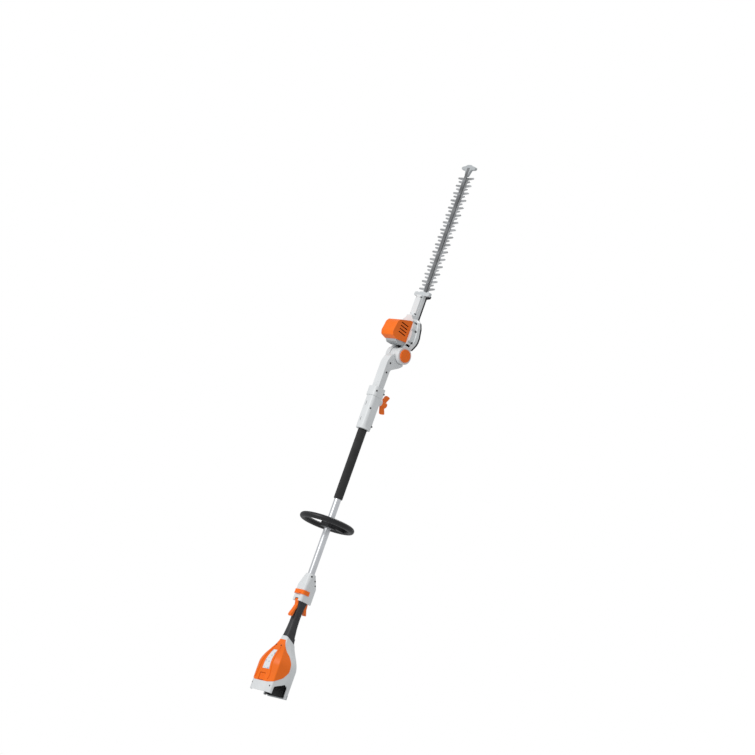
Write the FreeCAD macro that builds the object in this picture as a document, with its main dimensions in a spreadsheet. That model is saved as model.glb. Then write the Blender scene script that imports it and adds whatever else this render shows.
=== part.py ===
import FreeCAD, Part
import os
import re
from math import acos, cos, pi, sin, sqrt, tan

import Sketcher
from FreeCAD import Placement, Rotation, Vector

# A battery hedge trimmer on a long shaft. +Z runs along the shaft from the rear end face towards
# the blade tip. X is the axis of the head's tilt pivot. The upper side of the tool faces -Y, so
# a height above the shaft axis is counted along -Y and a depth below it along +Y.

doc = FreeCAD.newDocument("HedgeTrimmer")
sheet = doc.addObject("Spreadsheet::Sheet", "dim")

SIZES = {
    # general clearances
    "running_gap": 0.05, "free_gap": 0.4,
    # rear housing: half width, height and depth of the straight part, then of the neck
    "body_half": 60, "body_top": 58, "body_bottom": 44, "body_straight": 98, "neck_end": 216,
    "neck_half": 19, "neck_top": 22, "neck_bottom": 22, "flat_share": 0.567,
    "shoulder_share": 0.917, "shoulder_drop": 0.79, "waist_share": 0.14, "foot_share": 0.95,
    "foot_rise": 0.82, "sole_share": 0.87, "skin_corner": 5, "neck_corner": 3, "cover_proud": 0.8,
    "cover_depth": 1.8, "shell_wall": 4.5,
    # rear foot and battery bay
    "foot_length": 16, "foot_top": 35, "bay_half": 39.5, "bay_top": 31.5, "bay_bottom": 33.5,
    "bay_end": 121, "liner_wall": 2.5, "liner_start": 3, "liner_corner": 4,
    # contacts and electronics
    "contact_half": 22, "contact_start": 108, "contact_top": 15, "contact_bottom": 5,
    "latch_room_half": 15, "latch_start": 36, "latch_room_end": 80, "latch_window_end": 64,
    "collar_drop": 22, "skirt_inset": 1.5, "blade_thick": 0.8, "blade_length": 14,
    "board_start": 132, "board_length": 46, "board_half": 22, "board_thick": 1.6,
    # grip
    "grip_end": 350, "grip_rear_half": 17.5, "grip_rear_top": 20.5, "grip_waist_half": 15.2,
    "grip_waist_top": 16.5, "grip_front_half": 18.5, "grip_front_top": 20, "grip_corner": 11,
    "grip_wall": 3, "lever_width": 16, "trigger_width": 15, "hinge_radius": 1.5,
    # control housing
    "control_half": 24, "control_top": 27, "control_bottom": 31, "control_straight": 60,
    "control_length": 107, "control_corner": 9, "control_nose": 17.5, "control_wall": 3,
    "slider_out": 2.4, "slider_length": 16,
    # shaft tube, foam grip and cable
    "tube_radius": 12.7, "tube_wall": 1.6, "tube_start": 420, "tube_end": 1086, "foam_start": 748,
    "foam_end": 1022, "foam_radius": 16.8, "cable_radius": 3.2,
    # loop handle
    "loop_z": 651, "loop_rise": 10, "loop_radius": 92.75, "loop_bar": 10.75, "clamp_length": 28,
    "clamp_half": 21, "clamp_depth": 22, "spoke_half": 9, "spoke_thick": 14,
    # coupling
    "coupling_start": 1022, "coupling_flare": 14, "coupling_flare_half": 25.5, "coupling_half": 22,
    "coupling_depth": 24, "coupling_corner": 13, "collar_start": 1150, "collar_half": 24.5,
    "collar_depth": 26.5, "coupling_end": 1185, "tongue_half": 15, "tongue_depth": 10,
    "tongue_start": 1094, "tongue_end": 1231, "tongue_wall": 2.5, "tongue_corner": 3,
    # wing screw
    "wing_z": 1140, "wing_shank": 4, "wing_hub": 11, "wing_hub_start": 38, "wing_hub_end": 64,
    "wing_span": 36.5, "wing_thick": 13, "wing_neck": 9, "wing_start": 42, "wing_end": 71,
    "boss_radius": 13, "boss_end": 37,
    # forearm and tilt pivot
    "forearm_half": 18, "forearm_depth": 13, "pivot_z": 1332, "pivot_depth": 43, "eye_half": 14.6,
    "eye_radius": 29.5, "barrel_radius": 32, "cheek_inner": 15, "cheek_outer": 35, "pin_radius": 6,
    "hub_radius": 9, "button_radius": 24, "button_thick": 6.5, "button_end": 40,
    "recess_floor": 29, "index_radius": 20,
    # gearbox case, heights counted below the shaft axis
    "case_start": 30.5, "case_half": 53, "case_bottom": 62, "case_top": 28, "case_split": 48,
    "neck_case_half": 15.6, "neck_case_top": 39.5, "neck_case_end": 243, "plate_bottom": 69.3,
    "case_wall": 3, "cavity_half": 36, "guard_half": 41, "guard_length": 17, "guard_thick": 12,
    "hook_thick": 5, "plate_floor": 1.5, "boss_well": 4.5, "neck_well": 3.6,
    # motor cover, grille and fan
    "cover_width": 64, "cover_wall": 3, "grille_width": 56, "grille_wall": 3, "slat_half": 1.5,
    "fan_radius": 14, "fan_hub": 6, "fan_height": 6.5, "fan_level": 47,
    # drive
    "motor_at": 95, "gear_at": 62.5, "tooth_module": 1.25, "pinion_teeth": 12, "gear_teeth": 40,
    "motor_radius": 19.5, "crank_throw": 5, "cam_radius": 9, "axle_radius": 4,
    # cutting blades
    "cut_depth": 65.4, "steel_thick": 2, "steel_gap": 0.12, "spine_half": 13, "tooth_pitch": 30,
    "tooth_count": 16, "first_tooth": 1607, "long_reach": 41.5, "short_reach": 31,
    "blade_front": 2062, "rail_half": 7, "rail_thick": 3, "tip_start": 2068, "tip_end": 2113,
    "tip_half": 37,
}

for row, (alias, amount) in enumerate(SIZES.items(), start=1):
    sheet.set(f"A{row}", alias)
    sheet.set(f"B{row}", str(amount))
    sheet.setAlias(f"B{row}", alias)
doc.recompute()

ALIAS = re.compile(r"[a-z][a-z_]*\b(?!\()")
nodes = []


def bound(text):
    """An expression over the sheet, from one that names its aliases only."""
    return ALIAS.sub(lambda name: "dim." + name.group(), str(text))


def size(text):
    """The present value of such an expression."""
    return float(sheet.evalExpression(bound(text)))


def keep(piece, label):
    piece.Label = label
    nodes.append(piece)
    return piece


# ---------------------------------------------------------------- sketches and features

def new_body(name, z=None, y=None):
    body = doc.addObject("PartDesign::Body", name)
    if z is not None:
        body.setExpression("Placement.Base.z", bound(z))
    if y is not None:
        body.setExpression("Placement.Base.y", bound(y))
    return body


def new_sketch(body, plane, shift="0"):
    """A sketch on one of the body's own origin planes, moved along its normal."""
    role = next(item for item in body.Origin.OriginFeatures if item.Role == plane + "_Plane")
    sketch = body.newObject("Sketcher::SketchObject", "outline")
    sketch.AttachmentSupport = [(role, "")]
    sketch.MapMode = "FlatFace"
    sketch.setExpression("AttachmentOffset.Base.z", bound(shift))
    return sketch


class Rules:
    """Constraints of one sketch, added together, and the expressions that size them."""

    def __init__(self, sketch):
        self.sketch, self.waiting, self.sized = sketch, [], []

    def add(self, *values):
        self.waiting.append(Sketcher.Constraint(*values))

    def add_sized(self, text, *values):
        self.sized.append((len(self.waiting), text))
        self.add(*values, size(text))

    def place(self, index, end, x, y):
        self.add_sized(x, "DistanceX", -1, 1, index, end)
        self.add_sized(y, "DistanceY", -1, 1, index, end)

    def apply(self):
        first = self.sketch.ConstraintCount
        self.sketch.addConstraint(self.waiting)
        for number, text in self.sized:
            self.sketch.setExpression(f"Constraints[{first + number}]", bound(text))


def draw_circle(sketch, x, y, radius):
    index = sketch.addGeometry(Part.Circle(Vector(size(x), size(y)), Vector(0, 0, 1), size(radius)))
    rules = Rules(sketch)
    rules.place(index, 3, x, y)
    rules.add_sized(radius, "Radius", index)
    rules.apply()


def draw_outline(sketch, corners):
    """A closed outline. Each corner is (x, y) or (x, y, radius), all expressions."""
    places = [Vector(size(corner[0]), size(corner[1])) for corner in corners]
    count = len(corners)
    rules = Rules(sketch)
    first = sketch.GeometryCount
    shapes, starts, ends, arcs = [], [], [], {}
    for number, corner in enumerate(corners):
        here, before, after = places[number], places[number - 1], places[(number + 1) % count]
        into, out = (here - before).normalize(), (after - here).normalize()
        rules.place(first + number, 1, corner[0], corner[1])
        radius = size(corner[2]) if len(corner) > 2 else 0
        turn = acos(max(-1.0, min(1.0, into.dot(out))))
        reach = radius * tan(turn / 2)
        ends.append(here - into * reach)
        starts.append(here + out * reach)
        if radius:
            inward = (out - into).normalize()
            centre = here + inward * (radius / cos(turn / 2))
            arcs[number] = Part.Arc(ends[-1], centre - inward * radius, starts[-1])
    sketch.addGeometry([Part.Point(place) for place in places], True)
    for number in range(count):
        shapes.append(Part.LineSegment(starts[number], ends[(number + 1) % count]))
    for number in range(count):
        point = first + number
        after = first + count + number
        before = first + count + (number - 1) % count
        if number not in arcs:
            rules.add("Coincident", before, 2, point, 1)
            rules.add("Coincident", after, 1, point, 1)
            continue
        arc = first + count + len(shapes)
        shapes.append(arcs[number])
        drawn = arcs[number].toShape().Curve
        counterclockwise = drawn.Axis.z > 0
        near, far = (1, 2) if counterclockwise else (2, 1)
        rules.add("Tangent", before, 2, arc, near)
        rules.add("Tangent", after, 1, arc, far)
        rules.add("PointOnObject", point, 1, before)
        rules.add("PointOnObject", point, 1, after)
        rules.add_sized(corners[number][2], "Radius", arc)
    sketch.addGeometry(shapes, False)
    rules.apply()


def rectangle(half, low, high, corner=None):
    ends = [(f"-({half})", low), (half, low), (half, high), (f"-({half})", high)]
    return [point + (corner,) for point in ends] if corner else ends


def both_sides(right):
    """Right-hand corners from bottom to top, completed with their mirror images."""
    left = [(f"-({corner[0]})",) + tuple(corner[1:]) for corner in reversed(right)]
    return list(right) + left


def pad(body, sketch, length, middle=False, back=False):
    feature = body.newObject("PartDesign::Pad", "pad")
    feature.Profile = sketch
    feature.setExpression("Length", bound(length))
    feature.Midplane = middle
    feature.Reversed = back
    return feature


def pocket(body, sketch, length, middle=False, back=False):
    feature = body.newObject("PartDesign::Pocket", "pocket")
    feature.Profile = sketch
    feature.setExpression("Length", bound(length))
    feature.Midplane = middle
    feature.Reversed = back
    return feature


def loft(body, sketches, ruled=False):
    feature = body.newObject("PartDesign::AdditiveLoft", "loft")
    feature.Profile = sketches[0]
    feature.Sections = sketches[1:]
    feature.Ruled = ruled
    return feature


def padded(body, plane, corners, length, shift="0", middle=False, back=False):
    sketch = new_sketch(body, plane, shift)
    draw_outline(sketch, corners)
    return pad(body, sketch, length, middle, back)


def pocketed(body, plane, corners, length, shift="0", middle=False, back=False):
    sketch = new_sketch(body, plane, shift)
    draw_outline(sketch, corners)
    return pocket(body, sketch, length, middle, back)


def disc(body, plane, x, y, radius, length, shift="0", middle=False, back=False):
    sketch = new_sketch(body, plane, shift)
    draw_circle(sketch, x, y, radius)
    return pad(body, sketch, length, middle, back)


def bored(body, plane, x, y, radius, length, shift="0", middle=False, back=False):
    sketch = new_sketch(body, plane, shift)
    draw_circle(sketch, x, y, radius)
    return pocket(body, sketch, length, middle, back)


def cut(base, *tools):
    for tool in tools:
        result = doc.addObject("Part::Cut", "cut")
        result.Base, result.Tool = base, tool
        base = result
    return base


def common(base, tool):
    result = doc.addObject("Part::Common", "common")
    result.Base, result.Tool = base, tool
    return result


def fuse(base, tool):
    result = doc.addObject("Part::Fuse", "fuse")
    result.Base, result.Tool = base, tool
    return result


def half_space(side):
    """A block that holds everything on one side of the X = 0 plane."""
    block = doc.addObject("Part::Box", "half")
    block.Length, block.Width, block.Height = 200, 400, 2400
    block.Placement.Base = Vector(0 if side > 0 else -200, -200, -100)
    return block


LEFT, RIGHT = half_space(-1), half_space(1)


def screw_group(label, places, direction, head, head_height, shank, length):
    """Pan-head screws with a hexagon socket, all of one kind, as separate solids.

    Returns the space that they fill, without the sockets, to cut their seats with.
    """
    axis = Vector(*direction)
    turn = Rotation(Vector(0, 0, 1), axis)
    solids, spaces = [], []
    for place in places:
        top = Vector(*place)
        body = Part.makeCylinder(head, head_height, top, axis)
        body = body.fuse(Part.makeCylinder(shank, length, top, -axis))
        ring = [top + axis * head_height + turn.multVec(
            Vector(cos(side * pi / 3), sin(side * pi / 3), 0)) * (head * 0.5) for side in range(7)]
        socket = Part.Face(Part.makePolygon(ring)).extrude(-axis * head_height * 0.6)
        spaces.append(body)
        solids.append(body.cut(socket))
    group = doc.addObject("Part::Feature", label)
    group.Shape = Part.makeCompound(solids)
    keep(group, label)
    space = doc.addObject("Part::Feature", label + "_space")
    space.Shape = Part.makeCompound(spaces)
    return space


# ---------------------------------------------------------------- rear housing

def skin_section(body, grow, station, blend):
    """The faceted cross-section of the rear housing, blended from body to neck."""
    def mix(first, last):
        return f"({first} + ({last} - {first}) * {blend:.4f} + {grow})"
    half = mix("body_half", "neck_half")
    top = mix("body_top", "neck_top")
    bottom = mix("body_bottom", "neck_bottom")
    corner = f"(skin_corner + (neck_corner - skin_corner) * {blend:.4f})"
    right = [
        (f"{half} * sole_share", bottom, corner),
        (f"{half} * foot_share", f"{bottom} * foot_rise", corner),
        (half, f"{bottom} * waist_share", corner),
        (f"{half} * shoulder_share", f"-{top} * shoulder_drop", corner),
        (f"{half} * flat_share", f"-{top}", corner),
    ]
    sketch = new_sketch(body, "XY", station)
    draw_outline(sketch, both_sides(right))
    return sketch


def housing_solid(name, grow):
    body = new_body(name)
    straight = skin_section(body, grow, "0", 0)
    pad(body, straight, "body_straight")
    steps = 5
    sections = []
    for step in range(steps + 1):
        blend = (1 - cos(pi * step / steps)) / 2
        station = f"body_straight + (neck_end - body_straight) * {step / steps}"
        sections.append(skin_section(body, grow, station, blend))
    loft(body, sections)
    return body


def side_block(name, corners, width="2 * body_half + 40"):
    """A side profile (depth below the axis, station) run right across the tool."""
    body = new_body(name)
    padded(body, "YZ", corners, width, middle=True)
    return body


skin = housing_solid("housing_skin", "0")
proud = housing_solid("housing_proud", "cover_proud")
core = housing_solid("housing_core", "-cover_depth")
hollow = housing_solid("housing_hollow", "-shell_wall")

COVER_EDGE = [
    ("-body_top - 20", "24"), ("-40", "46", "10"), ("-12", "65", "30"), ("5", "90", "20"),
    ("5", "125", "30"), ("-4", "148", "25"), ("-17", "160", "20"), ("-24", "178", "15"),
    ("-22", "201"), ("-body_top - 20", "201"),
]
cover_zone = side_block("cover_zone", COVER_EDGE)
notch = side_block("battery_notch", [
    ("-37", "-5"), ("-36", "26", "8"), ("-6", "40", "20"), ("8", "48", "9"),
    ("23", "41", "6"), ("27", "-5")])
bay_middle = side_block("bay_middle", [("-80", "-10"), ("80", "-10"), ("80", "60"), ("-80", "60")],
                        "2 * bay_half")
foot_zone = side_block("foot_zone", [
    ("foot_top", "-5"), ("body_bottom + 10", "-5"), ("body_bottom + 10", "foot_length"),
    ("foot_top", "foot_length")])
latch_slot = new_body("latch_slot")
padded(latch_slot, "XZ", rectangle("latch_room_half", "latch_start", "latch_room_end", "2"), "60",
       "20")
latch_window = new_body("latch_window")
padded(latch_window, "XZ", rectangle("latch_room_half", "latch_start", "latch_window_end", "2"),
       "60", "20")
# The neck ends on a slant: the grip reaches further down on the lower side.
collar_zone = side_block("collar_zone", [
    ("-body_half", "neck_end - collar_drop / 2 + body_half / 2"),
    ("body_half", "neck_end - collar_drop / 2 - body_half / 2"),
    ("body_half", "grip_end"), ("-body_half", "grip_end")])

cover_screws = screw_group("cover_screws", [
    (side * x, y, z) for x, y, z in ((46, -49, 24), (13, -30.4, 176)) for side in (1, -1)],
    (0, -1, 0), 3.2, 2, 1.6, 8)

# The hinge pins of the latch, the lever and the trigger: half length, depth and station.
hinge_pins = new_body("hinge_pin_row")
for half, depth, station in ((17, -46.5, 62), (12, -17.5, 352), (12, 12.5, 352.5)):
    disc(hinge_pins, "YZ", f"{depth}", f"{station}", "hinge_radius", f"{2 * half}", middle=True)
keep(hinge_pins, "hinge_pins")

shell = cut(skin, hollow, cut(cover_zone, core), notch, foot_zone, latch_slot, cover_screws,
            hinge_pins, collar_zone)
keep(common(shell, LEFT), "rear_housing_left")
keep(common(shell, RIGHT), "rear_housing_right")

cover = cut(common(proud, cover_zone), core)
keep(cut(cover, latch_window, cover_screws, hinge_pins), "top_cover")

# The grey foot under the bay mouth has ribs across its sloping rear face.
foot = new_body("rear_foot")
rib_count = 5
slope = [("foot_top", "foot_length"), ("body_bottom", "foot_length")]
for rib in range(rib_count):
    rise = rib / rib_count
    slope.append((f"body_bottom - (body_bottom - foot_top) * {rise}", f"foot_length * {rise}"))
    slope.append((f"body_bottom - (body_bottom - foot_top) * {rise + 0.1}",
                  f"foot_length * {rise} - 0.2" if rib else "0.1"))
padded(foot, "YZ", slope, "2 * body_half * sole_share", middle=True)
keep(foot, "rear_foot")


def bay_liner():
    """The black battery chamber: a box with two flanges that close the gap to the skin."""
    box = new_body("liner_box")
    wall = "liner_wall"
    outside = rectangle(f"bay_half + {wall}", f"-bay_top - {wall}", f"bay_bottom + {wall}",
                        "liner_corner")
    padded(box, "XY", outside, "bay_end", "liner_start")
    flanges = new_body("liner_flanges")
    for station in ("liner_start", "50"):
        plate = new_sketch(flanges, "XY", station)
        draw_outline(plate, rectangle("body_half", "-body_top", "body_bottom"))
        pad(flanges, plate, "liner_wall")
    inner = housing_solid("liner_limit", "-shell_wall - 0.1")
    bay = new_body("bay_space")
    padded(bay, "XY", rectangle("bay_half", "-bay_top", "bay_bottom"),
           "bay_end - liner_wall + 10", "liner_start - 10")
    pawl_slot = new_body("pawl_slot")
    padded(pawl_slot, "XZ", rectangle("8.5", "66", "80"), "20", "25")
    whole = fuse(common(flanges, inner), box)
    whole = cut(whole, bay, cut(notch, bay_middle), foot_zone, latch_slot_upper(), pawl_slot)
    column = bay_column("bay_column", "-body_top", "body_bottom")
    beside = cut(whole, column)
    walls = doc.addObject("Part::Compound", "bay_walls")
    walls.Links = [
        common(beside, LEFT), common(beside, RIGHT),
        common(whole, bay_column("above_bay", "-body_top", "-bay_top")),
        common(whole, bay_column("below_bay", "bay_bottom", "body_bottom")),
        common(whole, bay_column("behind_bay", "-bay_top", "bay_bottom"))]
    keep(walls, "bay_liner")


def bay_column(name, low, high):
    """The space between the side walls of the bay, from one depth to another."""
    body = new_body(name)
    padded(body, "XY", rectangle("bay_half", low, high), "bay_end + 20", "-10")
    return body


def latch_slot_upper():
    """Room for the latch above the roof of the bay."""
    body = new_body("latch_room")
    padded(body, "XZ", rectangle("latch_room_half", "latch_start", "latch_room_end", "2"), "30",
           "bay_top + liner_wall")
    return body


bay_liner()

contacts = new_body("contact_block")
padded(contacts, "XY", rectangle("contact_half", "-contact_top", "contact_bottom", "2"),
       "bay_end + liner_start - liner_wall - contact_start", "contact_start")
keep(contacts, "contact_block")

terminals = new_body("contact_blades")
for column in (-15, -5, 5, 15):
    padded(terminals, "XY", [
        (f"{column} - blade_thick / 2", "-contact_top + 3"),
        (f"{column} + blade_thick / 2", "-contact_top + 3"),
        (f"{column} + blade_thick / 2", "contact_bottom - 3"),
        (f"{column} - blade_thick / 2", "contact_bottom - 3")],
        "blade_length", "contact_start - blade_length")
keep(terminals, "contact_blades")

board = new_body("control_board")
padded(board, "XZ", rectangle("board_half", "board_start", "board_start + board_length", "2"),
       "board_thick")
for column in (-13, 0, 13):
    padded(board, "XZ", rectangle("4", "board_start + 8", "board_start + 30"), "6",
           "board_thick - 0.1")
keep(board, "control_board")


def battery_latch():
    """The square release button with a pawl that drops through the roof of the bay."""
    body = new_body("latch")
    padded(body, "YZ", [
        ("-57.5", "38"), ("-52", "38"), ("-50", "56"), ("-43", "57", "3"), ("-43", "68"),
        ("-30", "70"), ("-30", "75"), ("-48", "75", "3"), ("-50", "66"), ("-57.5", "62", "2")],
        "16", middle=True)
    padded(body, "YZ", [
        ("-57.5", "38"), ("-54", "38"), ("-54", "62"), ("-57.5", "62")], "28", middle=True)
    bored(body, "YZ", "-46.5", "62", "hinge_radius + running_gap", "40", middle=True)
    return keep(body, "battery_latch")


battery_latch()

# ---------------------------------------------------------------- rear grip

def grip_solid(name, grow, start, end):
    body = new_body(name)
    stations = (
        (start, "grip_rear_half", "grip_rear_top"),
        ("neck_end + 44", "grip_waist_half", "grip_waist_top"),
        ("neck_end + 100", "grip_waist_half", "grip_waist_top"),
        (end, "grip_front_half", "grip_front_top"),
    )
    sections = []
    for station, half, top in stations:
        sketch = new_sketch(body, "XY", station)
        draw_outline(sketch, rectangle(f"{half} + {grow}", f"-{top} - {grow}",
                                       f"{top} + {grow}", f"grip_corner + {grow}"))
        sections.append(sketch)
    loft(body, sections)
    return body


grip_outer = grip_solid("grip_outer", "0", "neck_end", "grip_end")
grip_inner = grip_solid("grip_inner", "-grip_wall", "neck_end", "grip_end")
lever_slot = new_body("lever_slot")
padded(lever_slot, "XZ", rectangle("9", "314", "360", "2"), "30", "4")
trigger_slot = new_body("trigger_slot")
padded(trigger_slot, "XZ", rectangle("8.5", "304", "360", "2"), "40", "-44")
grip_skirt = common(cut(housing_solid("skirt_outer", "-skirt_inset"), hollow), collar_zone)
keep(fuse(cut(grip_outer, grip_inner, lever_slot, trigger_slot, hinge_pins), grip_skirt),
     "rear_grip")

# ---------------------------------------------------------------- control housing

def control_solid(name, grow):
    body = new_body(name, z="grip_end")
    section = rectangle(f"control_half + {grow}", f"-control_top - {grow}",
                        f"control_bottom + {grow}", f"control_corner + {grow}")
    padded(body, "XY", section, "control_straight")
    sections = []
    for share in (0, 0.45, 1):
        def mix(first):
            return f"({first} + (control_nose - {first}) * {share} + {grow})"
        sketch = new_sketch(body, "XY",
                            f"control_straight + (control_length - control_straight) * {share}")
        corner = f"control_corner + (control_nose - control_corner - 1) * {share} + {grow}"
        draw_outline(sketch, rectangle(mix("control_half"), "-" + mix("control_top"),
                                       mix("control_bottom"), corner))
        sections.append(sketch)
    loft(body, sections, ruled=True)
    return body


control_outer = control_solid("control_outer", "0")
control_inner = control_solid("control_inner", "-control_wall")
front_wall = new_body("control_front", z="grip_end + control_length - 22")
padded(front_wall, "XY", rectangle("60", "-60", "60"), "30")
tube_space = new_body("tube_space")
disc(tube_space, "XY", "0", "0", "tube_radius", "200", "tube_start")
rear_wall = new_body("control_rear", z="grip_end")
padded(rear_wall, "XY", rectangle("60", "-60", "60"), "control_wall")
grip_mouth = new_body("grip_mouth", z="grip_end")
padded(grip_mouth, "XY", rectangle("10", "-13", "13"), "control_wall + 1", "-1")

control_screws = screw_group("control_screws", [
    (17.8, -9, 447), (19.2, 12, 436), (21.2, 18, 420)], (1, 0, 0), 3.2, 1.6, 1.5, 7)
control_hollow = cut(control_inner, front_wall, rear_wall)
control_body = cut(control_outer, control_hollow, tube_space, lever_slot, trigger_slot,
                   grip_mouth, control_screws, hinge_pins)
keep(common(control_body, LEFT), "control_housing_left")
keep(common(control_body, RIGHT), "control_housing_right")

# The unlocking slider is a saddle over the upper side of the control housing.
slider = new_body("unlock_slider", z="grip_end + 25")
saddle = [
    ("-control_half - slider_out", "1"),
    ("-control_half - slider_out", "-control_top - slider_out", "10"),
    ("control_half + slider_out", "-control_top - slider_out", "10"),
    ("control_half + slider_out", "1"),
    ("control_half + free_gap", "1"), ("control_half + free_gap", "-control_top - free_gap", "8"),
    ("-control_half - free_gap", "-control_top - free_gap", "8"), ("-control_half - free_gap", "1")]
padded(slider, "XY", saddle, "slider_length")
padded(slider, "XY", rectangle("12", "-control_top - 8", "-control_top - 1.5", "2"), "4")
keep(slider, "unlock_slider")

lever = new_body("ergo_lever")
padded(lever, "YZ", [
    ("-18", "358", "3"), ("-24", "359", "3"), ("-24", "349", "4"), ("-19", "338", "8"),
    ("-27", "313", "20"), ("-35", "294", "4"), ("-27.5", "287", "3"), ("-24", "294", "4"),
    ("-20.5", "315", "20"), ("-10", "338", "6"), ("-12", "356", "3")], "lever_width", middle=True)
bored(lever, "YZ", "-17.5", "352", "hinge_radius + running_gap", "30", middle=True)
keep(lever, "ergo_lever")

trigger = new_body("trigger_body")
padded(trigger, "YZ", [
    ("8", "341", "2"), ("22", "318", "8"), ("34", "308", "3"), ("38", "311", "3"),
    ("30", "330", "12"), ("28", "349", "4"), ("16", "358", "3"), ("8", "357", "3")],
    "trigger_width", middle=True)
bored(trigger, "YZ", "12.5", "352.5", "hinge_radius + running_gap", "30", middle=True)
keep(trigger, "trigger")

switch = new_body("switch_body")
padded(switch, "YZ", [("-8", "372"), ("10", "372"), ("10", "400"), ("-8", "400")], "20",
       middle=True)
keep(switch, "switch_module")

# ---------------------------------------------------------------- shaft, foam grip, cable

tube = new_body("tube")
disc(tube, "XY", "0", "0", "tube_radius", "tube_end - tube_start", "tube_start")
bored(tube, "XY", "0", "0", "tube_radius - tube_wall", "tube_end", "tube_start - 10", back=True)
keep(tube, "shaft_tube")

foam = new_body("foam")
disc(foam, "XY", "0", "0", "foam_radius", "foam_end - foam_start", "foam_start")
bored(foam, "XY", "0", "0", "tube_radius", "foam_end", "foam_start - 10", back=True)
keep(foam, "foam_grip")

cable = doc.addObject("Part::Cylinder", "cable")
cable.setExpression("Radius", bound("cable_radius"))
cable.setExpression("Height", bound("tube_end - tube_start + 10"))
cable.setExpression("Placement.Base.z", bound("tube_start - 5"))
keep(cable, "power_cable")

# ---------------------------------------------------------------- loop handle

ring = doc.addObject("Part::Torus", "ring")
ring.setExpression("Radius1", bound("loop_radius"))
ring.setExpression("Radius2", bound("loop_bar"))
ring.setExpression("Placement.Base.y", bound("-loop_rise"))
ring.setExpression("Placement.Base.z", bound("loop_z"))
spoke = new_body("spoke", z="loop_z")
padded(spoke, "XY", rectangle("spoke_half", "clamp_depth", "loop_radius - loop_rise"),
       "spoke_thick", "-spoke_thick / 2")
keep(fuse(ring, spoke), "loop_handle")


def clamp_half(name, near, far):
    body = new_body(name, z="loop_z - clamp_length / 2")
    padded(body, "XY", rectangle("clamp_half", near, far, "2.5"), "clamp_length")
    bored(body, "XY", "0", "0", "tube_radius + running_gap", "clamp_length + 10", "-5",
          back=True)
    return body


clamp_screws = screw_group("clamp_screws", [(x, -21, size("loop_z")) for x in (-16, 16)],
                           (0, -1, 0), 3, 2, 1.8, 38)
keep(cut(clamp_half("clamp_upper", "-clamp_depth", "-0.3"), clamp_screws), "loop_clamp_upper")
keep(cut(clamp_half("clamp_lower", "0.3", "clamp_depth"), clamp_screws), "loop_clamp_lower")

# ---------------------------------------------------------------- shaft coupling

coupling = new_body("coupling")
flare = []
for station, half, depth, corner in (
        ("coupling_start", "coupling_flare_half", "coupling_flare_half", "coupling_flare_half - 1"),
        ("coupling_start + coupling_flare", "coupling_half", "coupling_depth", "coupling_corner")):
    section = new_sketch(coupling, "XY", station)
    draw_outline(section, rectangle(half, f"-({depth})", depth, corner))
    flare.append(section)
loft(coupling, flare, ruled=True)
padded(coupling, "XY", rectangle("coupling_half", "-coupling_depth", "coupling_depth",
                                 "coupling_corner"),
       "coupling_end - coupling_start - coupling_flare", "coupling_start + coupling_flare")
padded(coupling, "XY", rectangle("collar_half", "-collar_depth", "collar_depth",
                                 "coupling_corner"),
       "coupling_end - collar_start", "collar_start")
disc(coupling, "XZ", "0", "wing_z", "boss_radius", "boss_end", "-boss_end")
pocketed(coupling, "XY", rectangle("tongue_half + 0.3", "-tongue_depth - 0.3",
                                   "tongue_depth + 0.3"),
         "coupling_end", "tongue_start - 4", back=True)
bored(coupling, "XZ", "0", "wing_z", "wing_shank + running_gap", "boss_end + 5",
      "-boss_end - 5", back=True)
bored(coupling, "XY", "0", "0", "tube_radius", "tube_end - coupling_start + 5",
      "coupling_start - 5", back=True)
bored(coupling, "XY", "0", "0", "cable_radius + 1", "tongue_start", "coupling_start - 5",
      back=True)
coupling_screws = screw_group("coupling_screws", [
    (21, 18, 1040), (23.4, -19.5, 1168), (23.4, 19.5, 1168), (21, -18, 1100)],
    (1, 0, 0), 3, 2, 1.8, 36)
insert = new_body("insert")
disc(insert, "XZ", "0", "wing_z", "wing_shank + 3", "12", "-26")
bored(insert, "XZ", "0", "wing_z", "wing_shank + running_gap", "20", "-30", back=True)
coupling_body = cut(coupling, coupling_screws, insert)
keep(common(coupling_body, LEFT), "coupling_left")
keep(common(coupling_body, RIGHT), "coupling_right")
keep(insert, "threaded_insert")

# The wing screw: a round hub with a recess and two lobes that rise from it.
hub = new_body("wing_hub", z="wing_z")
disc(hub, "XZ", "0", "0", "wing_hub", "wing_hub_end - wing_hub_start", "-wing_hub_end")
recess = new_body("wing_recess", z="wing_z")
disc(recess, "XZ", "0", "0", "wing_hub - 3", "20", "-wing_hub_end + 5", back=True)
plan = new_body("wing_plan", z="wing_z")
padded(plan, "XZ", [
    ("wing_thick / 2", "wing_span", "5"), ("-wing_thick / 2", "wing_span", "5"),
    ("-wing_neck / 2", "wing_hub + 3", "8"), ("-wing_thick / 2", "0", "8"),
    ("-wing_neck / 2", "-wing_hub - 3", "8"), ("-wing_thick / 2", "-wing_span", "5"),
    ("wing_thick / 2", "-wing_span", "5"), ("wing_neck / 2", "-wing_hub - 3", "8"),
    ("wing_thick / 2", "0", "8"), ("wing_neck / 2", "wing_hub + 3", "8")],
    "wing_end - wing_hub_start", "-wing_end")
lobes = new_body("wing_lobes", z="wing_z")
padded(lobes, "YZ", [
    ("wing_start", "-wing_hub + 2"), ("wing_start + 12", "-wing_span", "4"),
    ("wing_end", "-wing_span + 3", "5"), ("wing_hub_end - 4", "-wing_hub + 1", "5"),
    ("wing_hub_end - 4", "wing_hub - 1", "5"), ("wing_end", "wing_span - 3", "5"),
    ("wing_start + 12", "wing_span", "4"), ("wing_start", "wing_hub - 2")],
    "2 * wing_hub", middle=True)
keep(cut(fuse(hub, common(plan, lobes)), recess), "wing_knob")
stud = new_body("stud", z="wing_z")
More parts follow.
